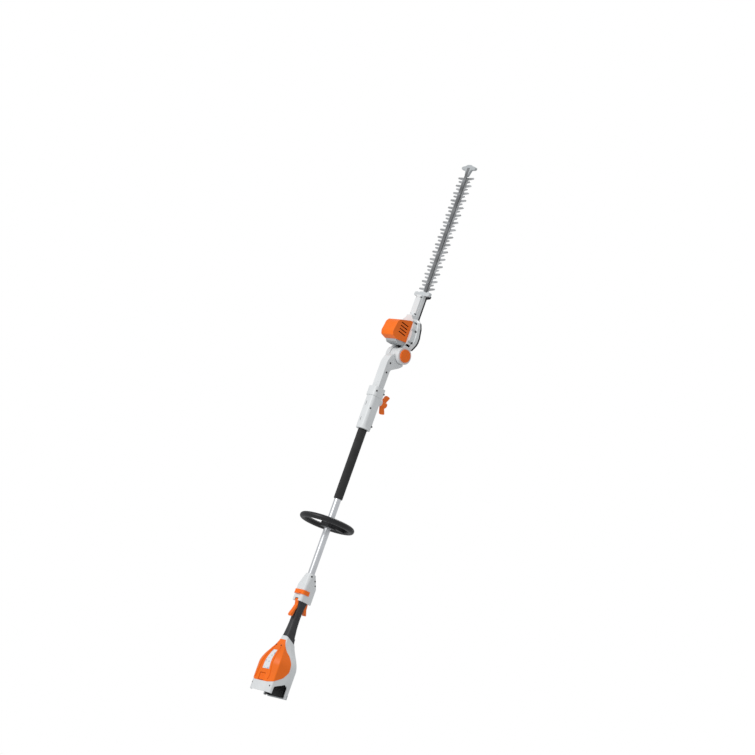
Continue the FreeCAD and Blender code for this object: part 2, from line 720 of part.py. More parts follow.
disc(stud, "XZ", "0", "0", "wing_shank", "wing_hub_start - tongue_depth - 0.6",
     "-wing_hub_start")
keep(stud, "wing_stud")

tongue = new_body("tongue_bar")
padded(tongue, "XY", rectangle("tongue_half", "-tongue_depth", "tongue_depth", "tongue_corner"),
       "tongue_end - tongue_start", "tongue_start")
pocketed(tongue, "XY", rectangle("tongue_half - tongue_wall", "-tongue_depth + tongue_wall",
                                 "tongue_depth - tongue_wall", "tongue_corner / 2"),
         "tongue_end", "tongue_start - 5", back=True)
keep(tongue, "coupling_tongue")

# ---------------------------------------------------------------- forearm with the pivot eye

ELBOW = [
    ("-forearm_depth", "coupling_end + 0.3"), ("forearm_depth", "coupling_end + 0.3"),
    ("forearm_depth + 1", "1262", "14"), ("50", "1284", "8"), ("66", "1298", "5"),
    ("50", "1330", "4"), ("8", "1325", "5"), ("-5", "1312", "14"), ("-forearm_depth", "1288", "20"),
]
forearm_wide = side_block("forearm_wide", ELBOW, "2 * forearm_half")
barrel_space = new_body("barrel_space")
disc(barrel_space, "YZ", "pivot_depth", "pivot_z", "barrel_radius + 1.5", "100", middle=True)
forearm_eye = side_block("forearm_eye", ELBOW, "2 * eye_half")
disc(forearm_eye, "YZ", "pivot_depth", "pivot_z", "eye_radius", "2 * eye_half", middle=True)
bored(forearm_eye, "YZ", "pivot_depth", "pivot_z", "pin_radius + running_gap", "100",
      middle=True)
forearm_screws = screw_group("forearm_screws", [(17, 3, 1286), (17, 0, 1248)], (1, 0, 0),
                             3.4, 2, 1.8, 30)
index_ring = new_body("index_ring_body")
disc(index_ring, "YZ", "pivot_depth", "pivot_z", "index_radius", "4", "eye_half - 4")
bored(index_ring, "YZ", "pivot_depth", "pivot_z", "hub_radius + 3", "10", "eye_half - 6",
      back=True)
index_steps = 24
for step in range(index_steps):
    angle = 2 * pi * step / index_steps
    bored(index_ring, "YZ", f"pivot_depth + {cos(angle):.4f} * (hub_radius + 3)",
          f"pivot_z + {sin(angle):.4f} * (hub_radius + 3)", "1", "10", "eye_half - 6", back=True)
ring_space = new_body("ring_space")
disc(ring_space, "YZ", "pivot_depth", "pivot_z", "index_radius", "8", "eye_half - 4")
tongue_space = new_body("tongue_space")
padded(tongue_space, "XY", rectangle("tongue_half", "-tongue_depth", "tongue_depth",
                                     "tongue_corner"), "tongue_end - tongue_start",
       "tongue_start")
forearm = cut(fuse(cut(forearm_wide, barrel_space), forearm_eye), tongue_space, ring_space,
              forearm_screws)
keep(common(forearm, LEFT), "forearm_left")
keep(common(forearm, RIGHT), "forearm_right")
keep(index_ring, "index_ring")

pin = new_body("pivot_bolt")
disc(pin, "YZ", "pivot_depth", "pivot_z", "pin_radius", "cheek_outer + 26", "-cheek_outer + 1")
keep(pin, "pivot_pin")

# The release button has a sleeve that slides on the pin, inside the right-hand cheek.
button = new_body("button_body")
disc(button, "YZ", "pivot_depth", "pivot_z", "button_radius", "button_thick",
     "button_end - button_thick")
disc(button, "YZ", "pivot_depth", "pivot_z", "hub_radius", "button_end - button_thick - 19.5",
     "19.5")
bored(button, "YZ", "pivot_depth", "pivot_z", "pin_radius + running_gap", "13", "19", back=True)
keep(button, "tilt_button")

# ---------------------------------------------------------------- gearbox case

def case_corners(shrink, end):
    """The plan of the case (X, station from the pivot), right side from rear to front."""
    return both_sides([
        (f"34 - {shrink}", f"case_start + {shrink}", "6"),
        (f"49 - {shrink}", "51", "6"),
        (f"case_half - {shrink}", "62", "6"),
        (f"case_half - {shrink}", "80", "6"),
        (f"45 - {shrink}", "116", "6"),
        (f"34 - {shrink}", "138", "6"),
        (f"neck_case_half - {shrink} / 6", "151", "5"),
        (f"neck_case_half - {shrink} / 6", end)])


case = new_body("case", z="pivot_z")
padded(case, "XZ", case_corners("0", "neck_case_end"), "case_bottom - case_split",
       "-case_bottom")
padded(case, "XZ", case_corners("6", "158"), "case_split - case_top", "-case_split")
padded(case, "XZ", rectangle("neck_case_half - 1.5", "148", "neck_case_end", "2"),
       "case_bottom - neck_case_top", "-case_bottom")
for side in ("cheek_inner", "-cheek_outer"):
    disc(case, "YZ", "pivot_depth", "0", "barrel_radius", "cheek_outer - cheek_inner", side)
    padded(case, "YZ", [
        ("case_bottom", "0"), ("case_bottom", "case_start + 6"), ("case_top", "case_start + 6"),
        ("case_top - 8", "0")], "cheek_outer - cheek_inner", side)
pocketed(case, "XZ", rectangle("cavity_half", "case_start + case_wall", "120", "8"),
         "case_bottom - case_top - case_wall + 10", "-case_bottom - 10", back=True)
bored(case, "XZ", "0", "motor_at", "6", "40", "-case_top - 20", back=True)
bored(case, "YZ", "pivot_depth", "0", "pin_radius", "100", middle=True)
bored(case, "YZ", "pivot_depth", "0", "hub_radius + running_gap", "60", "cheek_inner",
      back=True)
bored(case, "YZ", "pivot_depth", "0", "button_radius + 0.5", "20", "recess_floor", back=True)
bored(case, "XZ", "0", "gear_at", "axle_radius", "2", "-case_top - case_wall", back=True)

rail = new_body("rail", z="pivot_z")
padded(rail, "XZ", rectangle("rail_half", "neck_case_end - 35", "tip_end - 12 - pivot_z", "3"),
       "rail_thick", "-cut_depth + steel_thick + 2 * steel_gap")

plate = new_body("case_plate", z="pivot_z")
padded(plate, "XZ", case_corners("0", "neck_case_end"), "plate_bottom - case_bottom",
       "-plate_bottom")
for side in (1, -1):
    hook = [(f"{side * 12}", "neck_case_end - 9"), (f"{side * 35}", "neck_case_end - 5", "2"),
            (f"{side * 37}", "neck_case_end + 3", "2"), (f"{side * 26}", "neck_case_end + 13", "3"),
            (f"{side * 12}", "neck_case_end")]
    padded(plate, "XZ", hook if side > 0 else hook[::-1], "hook_thick", "-plate_bottom + 1")
pocketed(plate, "XZ", rectangle("24", "case_start + case_wall", "95", "6"),
         "plate_bottom - case_bottom - plate_floor + 20", "-plate_bottom + plate_floor",
         back=True)
pocketed(plate, "XZ", rectangle("11", "80", "300"),
         "plate_bottom - case_bottom - plate_floor + 20", "-plate_bottom + plate_floor",
         back=True)
bored(plate, "XZ", "0", "gear_at", "axle_radius", "20", "-plate_bottom - 5", back=True)

# The grey guard in front of the case's neck, with two lobes on each side.
guard = new_body("guard", z="pivot_z + neck_case_end")
padded(guard, "XZ", both_sides([
    ("guard_half - 4", "0.2", "4"), ("guard_half", "6", "4"),
    ("guard_half - 2", "guard_length - 2", "4"), ("27", "guard_length", "4"),
    ("20", "guard_length - 5", "5"), ("12", "guard_length", "4")]),
       "guard_thick", "-case_bottom + 0.1")

# Screws of the case on each side: distance from the middle plane, station from the pivot.
RIM_SCREWS = ((43, 53), (43, 99), (31, 130))
NECK_SCREWS = ((11, 166), (11, 234))
case_screws = screw_group("case_screws", [
    (side * x, size("case_split") - 1.5, size("pivot_z") + z)
    for x, z in RIM_SCREWS + NECK_SCREWS for side in (1, -1)],
    (0, -1, 0), 3, 1.4, 1.6, 18)
screw_wells = new_body("screw_wells", z="pivot_z")
for x, z in RIM_SCREWS:
    for side in (1, -1):
        disc(screw_wells, "XZ", f"{side * x}", f"{z}", "boss_well", "40", "-case_split - 1")
for x, z in NECK_SCREWS:
    for side in (1, -1):
        disc(screw_wells, "XZ", f"{side * x}", f"{z}", "neck_well", "30", "-case_split + 1.5")
keep(cut(case, rail, screw_wells, case_screws), "gearbox_case")
keep(cut(plate, case_screws), "gearbox_plate")
keep(cut(guard, rail), "base_guard")

# ---------------------------------------------------------------- motor and its cover

COVER = [
    ("28", "48"), ("-20", "42", "6"), ("-44", "49", "8"), ("-49", "63", "10"),
    ("-42", "102", "10"), ("-33", "114", "8"), ("17", "130", "6"), ("28", "130")]
COVER_INSIDE = [
    ("30", "51"), ("-18", "45", "5"), ("-42", "52", "6"), ("-46", "63", "8"),
    ("-39.5", "100", "8"), ("-31", "111", "6"), ("17", "127", "5"), ("30", "127")]
outer = new_body("motor_cover_outer", z="pivot_z")
padded(outer, "YZ", COVER, "cover_width", middle=True)
inner = new_body("motor_cover_inner", z="pivot_z")
padded(inner, "YZ", COVER_INSIDE, "cover_width - 2 * cover_wall", middle=True)
louvres = new_body("louvres", z="pivot_z")
for station in (66, 78, 90, 102):
    padded(louvres, "YZ", [("14", f"{station}"), ("16", f"{station + 4}"),
                           ("-22", f"{station + 8}"), ("-24", f"{station + 4}")], "40", "22")
keep(cut(outer, inner, louvres), "motor_cover")

grille = new_body("grille", z="pivot_z")
padded(grille, "YZ", [("27.9", "36"), ("16", "31", "3"), ("-10", "31", "5"), ("-21", "42"),
                      ("27.9", "47.5")], "grille_width", middle=True)
pocketed(grille, "YZ", [("26", "38"), ("14", "34"), ("-9", "34"), ("-17", "43"), ("26", "46")],
         "grille_width - 2 * grille_wall", middle=True)
for column in range(-21, 22, 6):
    pocketed(grille, "XZ", [(f"{column} - slat_half", "25"), (f"{column} + slat_half", "25"),
                            (f"{column} + slat_half", "38"), (f"{column} - slat_half", "38")],
             "34", "-20", back=True)
keep(cut(grille, outer), "vent_grille")

motor = new_body("motor_can_body", z="pivot_z + motor_at", y="case_top - 0.5")
disc(motor, "XZ", "0", "0", "motor_radius", "46")
bored(motor, "XZ", "0", "0", "motor_radius - 2", "42", "2", back=True)
bored(motor, "XZ", "0", "0", "3.5", "60", "-5", back=True)
keep(motor, "motor_can")
bearings = new_body("bearings", z="pivot_z + motor_at", y="case_top - 0.5")
for level in ("2", "41"):
    disc(bearings, "XZ", "0", "0", "motor_radius - 2", "3", level)
bored(bearings, "XZ", "0", "0", "2.55", "60", "-5", back=True)
keep(bearings, "motor_bearings")
rotor = new_body("rotor", z="pivot_z + motor_at", y="case_top - 0.5")
disc(rotor, "XZ", "0", "0", "15.5", "30", "8")
disc(rotor, "XZ", "0", "0", "2.5", "78", "-22")
keep(rotor, "motor_rotor")
fan = new_body("fan", z="pivot_z + motor_at", y="case_top - 0.5")
disc(fan, "XZ", "0", "0", "fan_hub", "fan_height", "fan_level")
disc(fan, "XZ", "0", "0", "fan_radius", "1.2", "fan_level")
fan_blades = 8
for number in range(fan_blades):
    angle = 2 * pi * number / fan_blades
    along = Vector(cos(angle), sin(angle), 0)
    across = Vector(-sin(angle), cos(angle), 0) * 0.6
    root, end = along * (size("fan_hub") - 1), along * size("fan_radius")
    corners = (root - across, end - across, end + across, root + across)
    padded(fan, "XZ", [(f"{corner.x:.4f}", f"{corner.y:.4f}") for corner in corners],
           "fan_height", "fan_level")
bored(fan, "XZ", "0", "0", "2.5", "30", "40", back=True)
keep(fan, "cooling_fan")


def gear_wire(teeth, turn):
    """An involute gear outline with a little backlash, as one closed wire."""
    module, pressure = size("tooth_module"), 25 * pi / 180
    pitch, base = module * teeth / 2, module * teeth / 2 * cos(pressure)
    outer, root = pitch + module, pitch - 1.2 * module
    half_tooth = pi / (2 * teeth) - 0.05 / pitch + tan(pressure) - pressure
    points = []
    for tooth in range(teeth):
        middle = turn + tooth * 2 * pi / teeth
        flank = [(root, half_tooth)]
        for step in range(5):
            radius = max(base, root) + (outer - max(base, root)) * step / 4
            roll = sqrt(max((radius / base) ** 2 - 1, 0))
            flank.append((radius, half_tooth - (roll - acos(min(1, base / radius)))))
        left = [(radius, middle - angle) for radius, angle in flank]
        right = [(radius, middle + angle) for radius, angle in reversed(flank)]
        points += [Vector(r * cos(a), r * sin(a), 0) for r, a in left + right]
    return Part.makePolygon(points + points[:1])


def spur_gear(name, label, teeth, thick, bore, station, depth, turn):
    gear = Part.Face(gear_wire(teeth, turn)).extrude(Vector(0, 0, thick))
    gear = gear.cut(Part.makeCylinder(bore, thick))
    feature = doc.addObject("Part::Feature", name)
    feature.Shape = gear
    feature.Placement = Placement(Vector(0, depth, size("pivot_z") + station),
                                  Rotation(Vector(1, 0, 0), 90))
    return keep(feature, label)


TEETH = int(size("gear_teeth"))
spur_gear("pinion", "motor_pinion", int(size("pinion_teeth")), 10, 2.5, size("motor_at"), 50,
          pi / 2)
spur_gear("gear", "drive_gear", TEETH, 8, size("axle_radius") + 3, size("gear_at"), 49,
          pi / 2 + pi / TEETH)

cams = new_body("cams", z="pivot_z + gear_at")
disc(cams, "XZ", "0", "0", "axle_radius + 3", "28.5", "-cut_depth - 2.1")
disc(cams, "XZ", "0", "crank_throw", "cam_radius", "steel_thick + 0.3", "-cut_depth + 0.05")
disc(cams, "XZ", "0", "-crank_throw", "cam_radius", "steel_thick + 0.1", "-cut_depth - 2.1")
bored(cams, "XZ", "0", "0", "axle_radius + running_gap", "60", "-75", back=True)
keep(cams, "eccentric_cams")
axle = new_body("axle", z="pivot_z + gear_at")
disc(axle, "XZ", "0", "0", "axle_radius", "plate_bottom - case_top - 1.1", "-plate_bottom")
keep(axle, "gear_axle")

# ---------------------------------------------------------------- cutting blades

bolt_stations = [1632, 1752, 1872, 1992, 2046]


def tooth(side, reach, at, base_width, tip_width):
    """One tooth outline, leaning slightly towards the tip of the blade."""
    near, far = f"{side} * (spine_half - 2)", f"{side} * {reach}"
    corners = [
        (near, f"{at} - {base_width / 2}"), (far, f"{at} + 3 - {tip_width / 2}", "2.5"),
        (far, f"{at} + 3 + {tip_width / 2}", "2.5"), (near, f"{at} + {base_width / 2}")]
    return corners if side > 0 else corners[::-1]


def blade(label, level, reach, at, base_width, tip_width, count):
    body = new_body(label + "_body")
    spine = rectangle("spine_half", f"{at} - 12", "blade_front", "3")
    padded(body, "XZ", spine, "steel_thick", level)
    padded(body, "XZ", rectangle("9", "pivot_z + gear_at + 20", f"{at} - 8"), "steel_thick",
           level)
    padded(body, "XZ", rectangle("19", "pivot_z + gear_at - 22.2", "pivot_z + gear_at + 23", "4"),
           "steel_thick", level)
    sketch = new_sketch(body, "XZ", level)
    for side in (1, -1):
        draw_outline(sketch, tooth(side, reach, at, base_width, tip_width))
    teeth = pad(body, sketch, "steel_thick")
    row = body.newObject("PartDesign::LinearPattern", "row")
    row.Originals = [teeth]
    row.Direction = (sketch, ["V_Axis"])
    row.setExpression("Occurrences", bound(count))
    row.setExpression("Length", bound(f"tooth_pitch * ({count} - 1)"))
    body.Tip = row
    pocketed(body, "XZ", rectangle("14.3", "pivot_z + gear_at - 19.3", "pivot_z + gear_at + 19.3",
                                   "4"), "20", "-cut_depth - 10", back=True)
    for station in bolt_stations:
        pocketed(body, "XZ", rectangle("3.15", f"{station} - 8.4", f"{station} + 8.4", "3"),
                 "20", "-cut_depth - 10", back=True)
    return keep(body, label)


blade("upper_blade", "-cut_depth + steel_gap", "short_reach", "first_tooth + 15", 10, 5,
      "tooth_count - 1")
blade("lower_blade", "-cut_depth - steel_gap - steel_thick", "long_reach", "first_tooth", 11, 6,
      "tooth_count")

blade_bolts = screw_group("blade_bolts", [
    (0, size("cut_depth - steel_thick - 2 * steel_gap - rail_thick"), z) for z in bolt_stations],
    (0, -1, 0), 5, 1.6, 3, size("2 * (steel_thick + 2 * steel_gap) + rail_thick") + 3)
washers = new_body("washers")
for station in bolt_stations:
    disc(washers, "XZ", "0", f"{station}", "6", "1.5",
         "-cut_depth - steel_thick - 2 * steel_gap - 1.5")
    bored(washers, "XZ", "0", f"{station}", "3", "20", "-80", back=True)
keep(washers, "blade_washers")
tip = new_body("tip")
padded(tip, "XZ", both_sides([
    ("7", "tip_start", "2"), ("15", "tip_end - 20", "4"), ("tip_half - 2", "tip_end - 19", "5"),
    ("tip_half", "tip_end - 9", "4"), ("20", "tip_end - 5", "8"), ("9", "tip_end", "4")]),
       "10", "-cut_depth - 5")
tip_rivets = screw_group("tip_rivets", [(side * 4, size("cut_depth") - 5, 2092 + side * 4)
                                        for side in (-1, 1)], (0, -1, 0), 2, 0.8, 1.2, 9)
keep(cut(rail, blade_bolts, tip_rivets), "guide_rail")
keep(cut(tip, rail, tip_rivets), "tip_guard")

# ---------------------------------------------------------------- checks and files

doc.recompute()
for item in doc.Objects:
    if "Invalid" in item.State or "Error" in item.State:
        raise RuntimeError(f"{item.Name} ({item.Label}) is {item.State}")
os.makedirs("parts", exist_ok=True)
for piece in nodes:
    if not piece.Shape.isValid() or not piece.Shape.Solids:
        raise RuntimeError(f"{piece.Label} has no valid solid")
    piece.Shape.exportStep(f"parts/{piece.Label}.step")
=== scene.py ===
from math import cos, pi, radians, sin

import bmesh
import bpy
from mathutils import Matrix, Vector
from mathutils.bvhtree import BVHTree


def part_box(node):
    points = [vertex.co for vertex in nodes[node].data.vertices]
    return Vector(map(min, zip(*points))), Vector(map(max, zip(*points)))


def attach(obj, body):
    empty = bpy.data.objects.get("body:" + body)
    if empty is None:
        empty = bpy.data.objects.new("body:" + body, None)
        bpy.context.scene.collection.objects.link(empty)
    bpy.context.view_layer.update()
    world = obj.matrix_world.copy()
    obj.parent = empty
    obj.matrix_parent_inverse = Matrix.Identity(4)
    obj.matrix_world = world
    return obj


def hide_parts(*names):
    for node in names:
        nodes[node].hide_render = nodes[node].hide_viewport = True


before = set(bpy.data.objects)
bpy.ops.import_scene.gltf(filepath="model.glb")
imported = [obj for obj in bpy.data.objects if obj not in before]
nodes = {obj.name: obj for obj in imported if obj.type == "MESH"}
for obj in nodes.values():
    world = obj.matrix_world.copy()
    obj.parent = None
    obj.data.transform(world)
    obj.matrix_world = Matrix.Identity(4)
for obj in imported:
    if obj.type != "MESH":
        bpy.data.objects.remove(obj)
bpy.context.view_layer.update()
scene = bpy.context.scene

MM = 0.001


# ---------------------------------------------------------------- materials

class Finish:
    """A material on one Principled shader, with a few helpers for its textures."""

    def __init__(self, name, colour, roughness, metallic=0.0):
        self.material = bpy.data.materials.new(name)
        self.material.use_nodes = True
        self.tree = self.material.node_tree
        self.shader = self.tree.nodes["Principled BSDF"]
        self.set("Base Color", (*colour, 1.0))
        self.set("Roughness", roughness)
        self.set("Metallic", metallic)
        self.place = self.tree.nodes.new("ShaderNodeTexCoord").outputs["Object"]
        self.normal = None

    def set(self, socket, amount):
        self.shader.inputs[socket].default_value = amount
        return self

    def link(self, source, target):
        self.tree.links.new(source, target)

    def placed(self, node, stretch):
        """Give a texture node its place, scaled along each axis where a stretch is given."""
        source = self.place
        if stretch:
            mapping = self.tree.nodes.new("ShaderNodeMapping")
            mapping.inputs["Scale"].default_value = stretch
            self.link(self.place, mapping.inputs["Vector"])
            source = mapping.outputs["Vector"]
        self.link(source, node.inputs["Vector"])

    def noise(self, scale, detail, stretch=None):
        node = self.tree.nodes.new("ShaderNodeTexNoise")
        node.inputs["Scale"].default_value = scale
        node.inputs["Detail"].default_value = detail
        self.placed(node, stretch)
        return node.outputs["Fac"]

    def cells(self, scale, stretch=None):
        node = self.tree.nodes.new("ShaderNodeTexVoronoi")
        node.inputs["Scale"].default_value = scale
        self.placed(node, stretch)
        return node.outputs["Distance"]

    def ramp(self, source, stops):
        """A colour for each strength of a texture, from stops of (strength, colour)."""
        node = self.tree.nodes.new("ShaderNodeValToRGB")
        elements = node.color_ramp.elements
        while len(elements) < len(stops):
            elements.new(0.5)
        for element, (position, colour) in zip(elements, stops):
            element.position = position
            element.color = (*colour, 1.0)
        self.link(source, node.inputs["Fac"])
        return node.outputs["Color"]

    def colour(self, source, low, high, start=0.35, end=0.65):
        self.link(self.ramp(source, ((start, low), (end, high))), self.shader.inputs["Base Color"])
        return self

    def rough(self, source, low, high):
        node = self.tree.nodes.new("ShaderNodeMapRange")
        node.inputs["To Min"].default_value = low
        node.inputs["To Max"].default_value = high
        self.link(source, node.inputs["Value"])
        self.link(node.outputs["Result"], self.shader.inputs["Roughness"])
        return self

    def bump(self, source, strength, distance):
        """Add a relief of this depth, on top of any relief that is there already."""
        node = self.tree.nodes.new("ShaderNodeBump")
        node.inputs["Strength"].default_value = strength
        node.inputs["Distance"].default_value = distance
        self.link(source, node.inputs["Height"])
        if self.normal:
            self.link(self.normal, node.inputs["Normal"])
        self.normal = node.outputs["Normal"]
        self.link(self.normal, self.shader.inputs["Normal"])
        return self


SOILED, WORN = 0.93, 1.04
SMOOTHER, ROUGHER = 0.07, 0.09


def moulded(name, colour, roughness, grain=1400.0, depth=0.25):
    """Spark-eroded moulded plastic: fine grain, faint flow marks and handling dust."""
    finish = Finish(name, colour, roughness)
    soil = finish.noise(9.0, 6.0)
    finish.colour(soil, tuple(c * SOILED for c in colour),
                  tuple(min(1.0, c * WORN) for c in colour))
    finish.rough(finish.noise(60.0, 5.0), roughness - SMOOTHER, roughness + ROUGHER)
    finish.bump(finish.noise(grain, 3.0), depth, 0.06 * MM)
    finish.bump(finish.noise(35.0, 2.0), 0.12, 0.4 * MM)
    return finish


def grip_rubber():
    """Soft black rubber with a close lozenge texture and rubbed patches."""
    finish = Finish("grip_rubber", (0.024, 0.024, 0.026), 0.55)
    finish.colour(finish.noise(18.0, 5.0), (0.019, 0.019, 0.021), (0.034, 0.034, 0.037))
    finish.rough(finish.noise(30.0, 4.0), 0.42, 0.64)
    finish.bump(finish.cells(420.0, stretch=(1.0, 1.0, 0.55)), 0.55, 0.35 * MM)
    finish.bump(finish.noise(1600.0, 2.0), 0.2, 0.05 * MM)
    return finish


def foam_rubber():
    """Closed-cell foam: open pores in a matt black skin."""
    finish = Finish("foam_rubber", (0.014, 0.014, 0.014), 0.85)
    finish.colour(finish.noise(25.0, 5.0), (0.007, 0.007, 0.007), (0.017, 0.017, 0.017))
    finish.bump(finish.cells(900.0), 0.8, 0.3 * MM)
    finish.bump(finish.noise(140.0, 5.0), 0.35, 0.5 * MM)
    finish.set("Sheen Weight", 0.1).set("Sheen Roughness", 0.6)
    return finish


def drawn_aluminium():
    """Satin anodised tube with long drawing lines."""
    finish = Finish("drawn_aluminium", (0.76, 0.77, 0.79), 0.34, 1.0)
    lines = finish.noise(900.0, 3.0, (1.0, 1.0, 0.012))
    finish.colour(finish.noise(6.0, 5.0), (0.66, 0.67, 0.69), (0.82, 0.83, 0.85))
    finish.rough(lines, 0.26, 0.44)
    finish.bump(lines, 0.12, 0.05 * MM)
    return finish


def cast_alloy():
    """Light alloy with a fine cast grain."""
    finish = Finish("cast_alloy", (0.5, 0.51, 0.53), 0.42, 1.0)
    finish.rough(finish.noise(200.0, 4.0), 0.35, 0.55)
    finish.bump(finish.noise(900.0, 4.0), 0.3, 0.08 * MM)
    return finish


def blade_steel():
    """Ground steel: crosswise grinding lines, faint oil film and sap stains."""
    finish = Finish("blade_steel", (0.5, 0.51, 0.525), 0.38, 0.9)
    grinding = finish.noise(1500.0, 2.0, (0.03, 1.0, 1.0))
    finish.colour(finish.noise(40.0, 6.0), (0.4, 0.405, 0.41), (0.6, 0.61, 0.62))
    finish.rough(grinding, 0.24, 0.45)
    finish.bump(grinding, 0.2, 0.04 * MM)
    return finish


def dark_steel():
    """Hardened steel of the motor and gears, with blue-grey patches."""
    finish = Finish("dark_steel", (0.075, 0.077, 0.082), 0.4, 1.0)
    finish.colour(finish.noise(55.0, 6.0), (0.05, 0.052, 0.056), (0.13, 0.134, 0.14))
    finish.rough(finish.noise(300.0, 4.0), 0.3, 0.5)
    finish.bump(finish.noise(900.0, 3.0), 0.2, 0.05 * MM)
    return finish


def plated_steel():
    """Bright zinc plate with a slight cloudiness."""
    finish = Finish("plated_steel", (0.5, 0.51, 0.53), 0.3, 1.0)
    finish.colour(finish.noise(400.0, 4.0), (0.4, 0.41, 0.43), (0.58, 0.59, 0.6))
    finish.bump(finish.noise(2000.0, 2.0), 0.15, 0.03 * MM)
    return finish


def contact_brass():
    """Brass with darker, tarnished patches."""
    finish = Finish("contact_brass", (0.72, 0.5, 0.18), 0.3, 1.0)
    finish.colour(finish.noise(300.0, 5.0), (0.55, 0.36, 0.12), (0.78, 0.56, 0.22))
    return finish


def board_lacquer():
    """Green circuit board lacquer, darker in cells."""
    finish = Finish("board_lacquer", (0.01, 0.09, 0.035), 0.3)
    finish.colour(finish.cells(260.0), (0.008, 0.07, 0.028), (0.02, 0.14, 0.06), 0.1, 0.5)
    return finish


def label_film():
    """A satin film with pale, print-free patches of soft blue, grey and green."""
    finish = Finish("label_film", (0.75, 0.76, 0.77), 0.32)
    patches = finish.noise(55.0, 2.0)
    finish.link(finish.ramp(patches, (
        (0.36, (0.28, 0.4, 0.55)), (0.45, (0.76, 0.77, 0.78)), (0.58, (0.78, 0.79, 0.8)),
        (0.7, (0.36, 0.48, 0.4)))), finish.shader.inputs["Base Color"])
    finish.bump(finish.noise(500.0, 2.0), 0.05, 0.02 * MM)
    return finish


def rail_alloy():
    """The pressed blade rail: mid-grey metal with lengthwise rolling lines and dulled patches."""
    finish = Finish("rail_alloy", (0.2, 0.205, 0.21), 0.45, 0.8)
    lines = finish.noise(1100.0, 3.0, (1.0, 1.0, 0.02))
    finish.colour(finish.noise(30.0, 6.0), (0.15, 0.153, 0.157), (0.26, 0.265, 0.27))
    finish.rough(lines, 0.36, 0.55)
    finish.bump(lines, 0.15, 0.05 * MM)
    return finish


def blackened_steel():
    """Oil-blacked screws with brownish worn patches."""
    finish = Finish("blackened_steel", (0.018, 0.018, 0.019), 0.42, 0.6)
    finish.colour(finish.noise(700.0, 5.0), (0.01, 0.01, 0.011), (0.045, 0.04, 0.036))
    finish.bump(finish.noise(1800.0, 2.0), 0.2, 0.03 * MM)
    return finish


WHITE = moulded("white_plastic", (0.70, 0.715, 0.72), 0.42)
ORANGE = moulded("orange_plastic", (0.93, 0.165, 0.004), 0.4, grain=1200.0, depth=0.15)
ORANGE.set("Specular IOR Level", 0.3)
BLACK = moulded("black_plastic", (0.010, 0.010, 0.011), 0.46, grain=900.0, depth=0.4)
BLACK.set("Specular IOR Level", 0.4)
GREY = moulded("grey_plastic", (0.42, 0.44, 0.45), 0.45)
GUARD = moulded("guard_plastic", (0.55, 0.57, 0.58), 0.45)
RUBBER, FOAM = grip_rubber(), foam_rubber()
TUBE, ALLOY, STEEL, DARK = drawn_aluminium(), cast_alloy(), blade_steel(), dark_steel()
PLATED, BRASS, BOARD, LABEL = plated_steel(), contact_brass(), board_lacquer(), label_film()
RAIL, BLACKENED = rail_alloy(), blackened_steel()

USES = {
    WHITE: ("rear_housing_left", "rear_housing_right", "control_housing_left",
            "control_housing_right", "coupling_left", "coupling_right", "forearm_left",
            "forearm_right", "gearbox_case"),
    ORANGE: ("top_cover", "battery_latch", "unlock_slider", "ergo_lever", "trigger",
             "wing_knob", "motor_cover", "tilt_button"),
    BLACK: ("bay_liner", "contact_block", "switch_module", "loop_handle", "loop_clamp_upper",
            "loop_clamp_lower", "gearbox_plate", "cooling_fan"),
    GREY: ("rear_foot", "vent_grille", "tip_guard"),
    GUARD: ("base_guard",),
    RUBBER: ("rear_grip", "power_cable"),
    TUBE: ("shaft_tube",),
    ALLOY: ("coupling_tongue",),
    STEEL: ("upper_blade", "lower_blade"),
    RAIL: ("guide_rail",),
    BLACKENED: ("cover_screws", "control_screws", "coupling_screws", "clamp_screws",
                "forearm_screws", "case_screws"),
    DARK: ("motor_can", "motor_rotor", "drive_gear", "motor_pinion",
           "eccentric_cams", "index_ring"),
    PLATED: ("hinge_pins", "pivot_pin", "motor_bearings", "gear_axle", "blade_bolts",
             "blade_washers", "tip_rivets", "wing_stud"),
    BRASS: ("contact_blades", "threaded_insert"),
    BOARD: ("control_board",),
}

# How far the outer edges of each node are rounded over, in millimetres.
ROUNDED = {
    "rear_housing_left": 1.0, "rear_housing_right": 1.0, "top_cover": 0.7,
    "control_housing_left": 0.8, "control_housing_right": 0.8, "coupling_left": 0.8,
    "coupling_right": 0.8, "forearm_left": 1.4, "forearm_right": 1.4, "gearbox_case": 1.6,
    "gearbox_plate": 0.8, "motor_cover": 2.2, "tilt_button": 1.4, "wing_knob": 2.0,
    "unlock_slider": 1.1, "ergo_lever": 1.6, "trigger": 1.6, "battery_latch": 1.0,
    "rear_foot": 0.4, "rear_grip": 1.0, "bay_liner": 0.4, "base_guard": 2.0, "tip_guard": 2.0,
    "vent_grille": 0.4, "loop_clamp_upper": 1.0, "loop_clamp_lower": 1.0, "loop_handle": 1.0,
    "upper_blade": 0.25, "lower_blade": 0.25, "guide_rail": 0.4, "contact_block": 0.5,
}
BEVEL_ABOVE = radians(38)
SHARP_ABOVE = 32.0
ADDED_SHARP_ABOVE = 40.0


def smooth(mesh, degrees=SHARP_ABOVE):
    for polygon in mesh.polygons:
        polygon.use_smooth = True
    mesh.set_sharp_from_angle(angle=radians(degrees))


def dress_frame():
    """Give each CAD node its finish, and round its edges with a modifier."""
    for finish, names in USES.items():
        for name in names:
            piece = nodes[name]
            piece.data.materials.clear()
            piece.data.materials.append(finish.material)
            smooth(piece.data)
            if name in ROUNDED:
                bevel = piece.modifiers.new("rounded_edges", "BEVEL")
                bevel.width = ROUNDED[name] * MM
                bevel.segments = 2
                bevel.limit_method = "ANGLE"
                bevel.angle_limit = BEVEL_ABOVE
                bevel.harden_normals = False


dress_frame()


# ---------------------------------------------------------------- helpers for added pieces

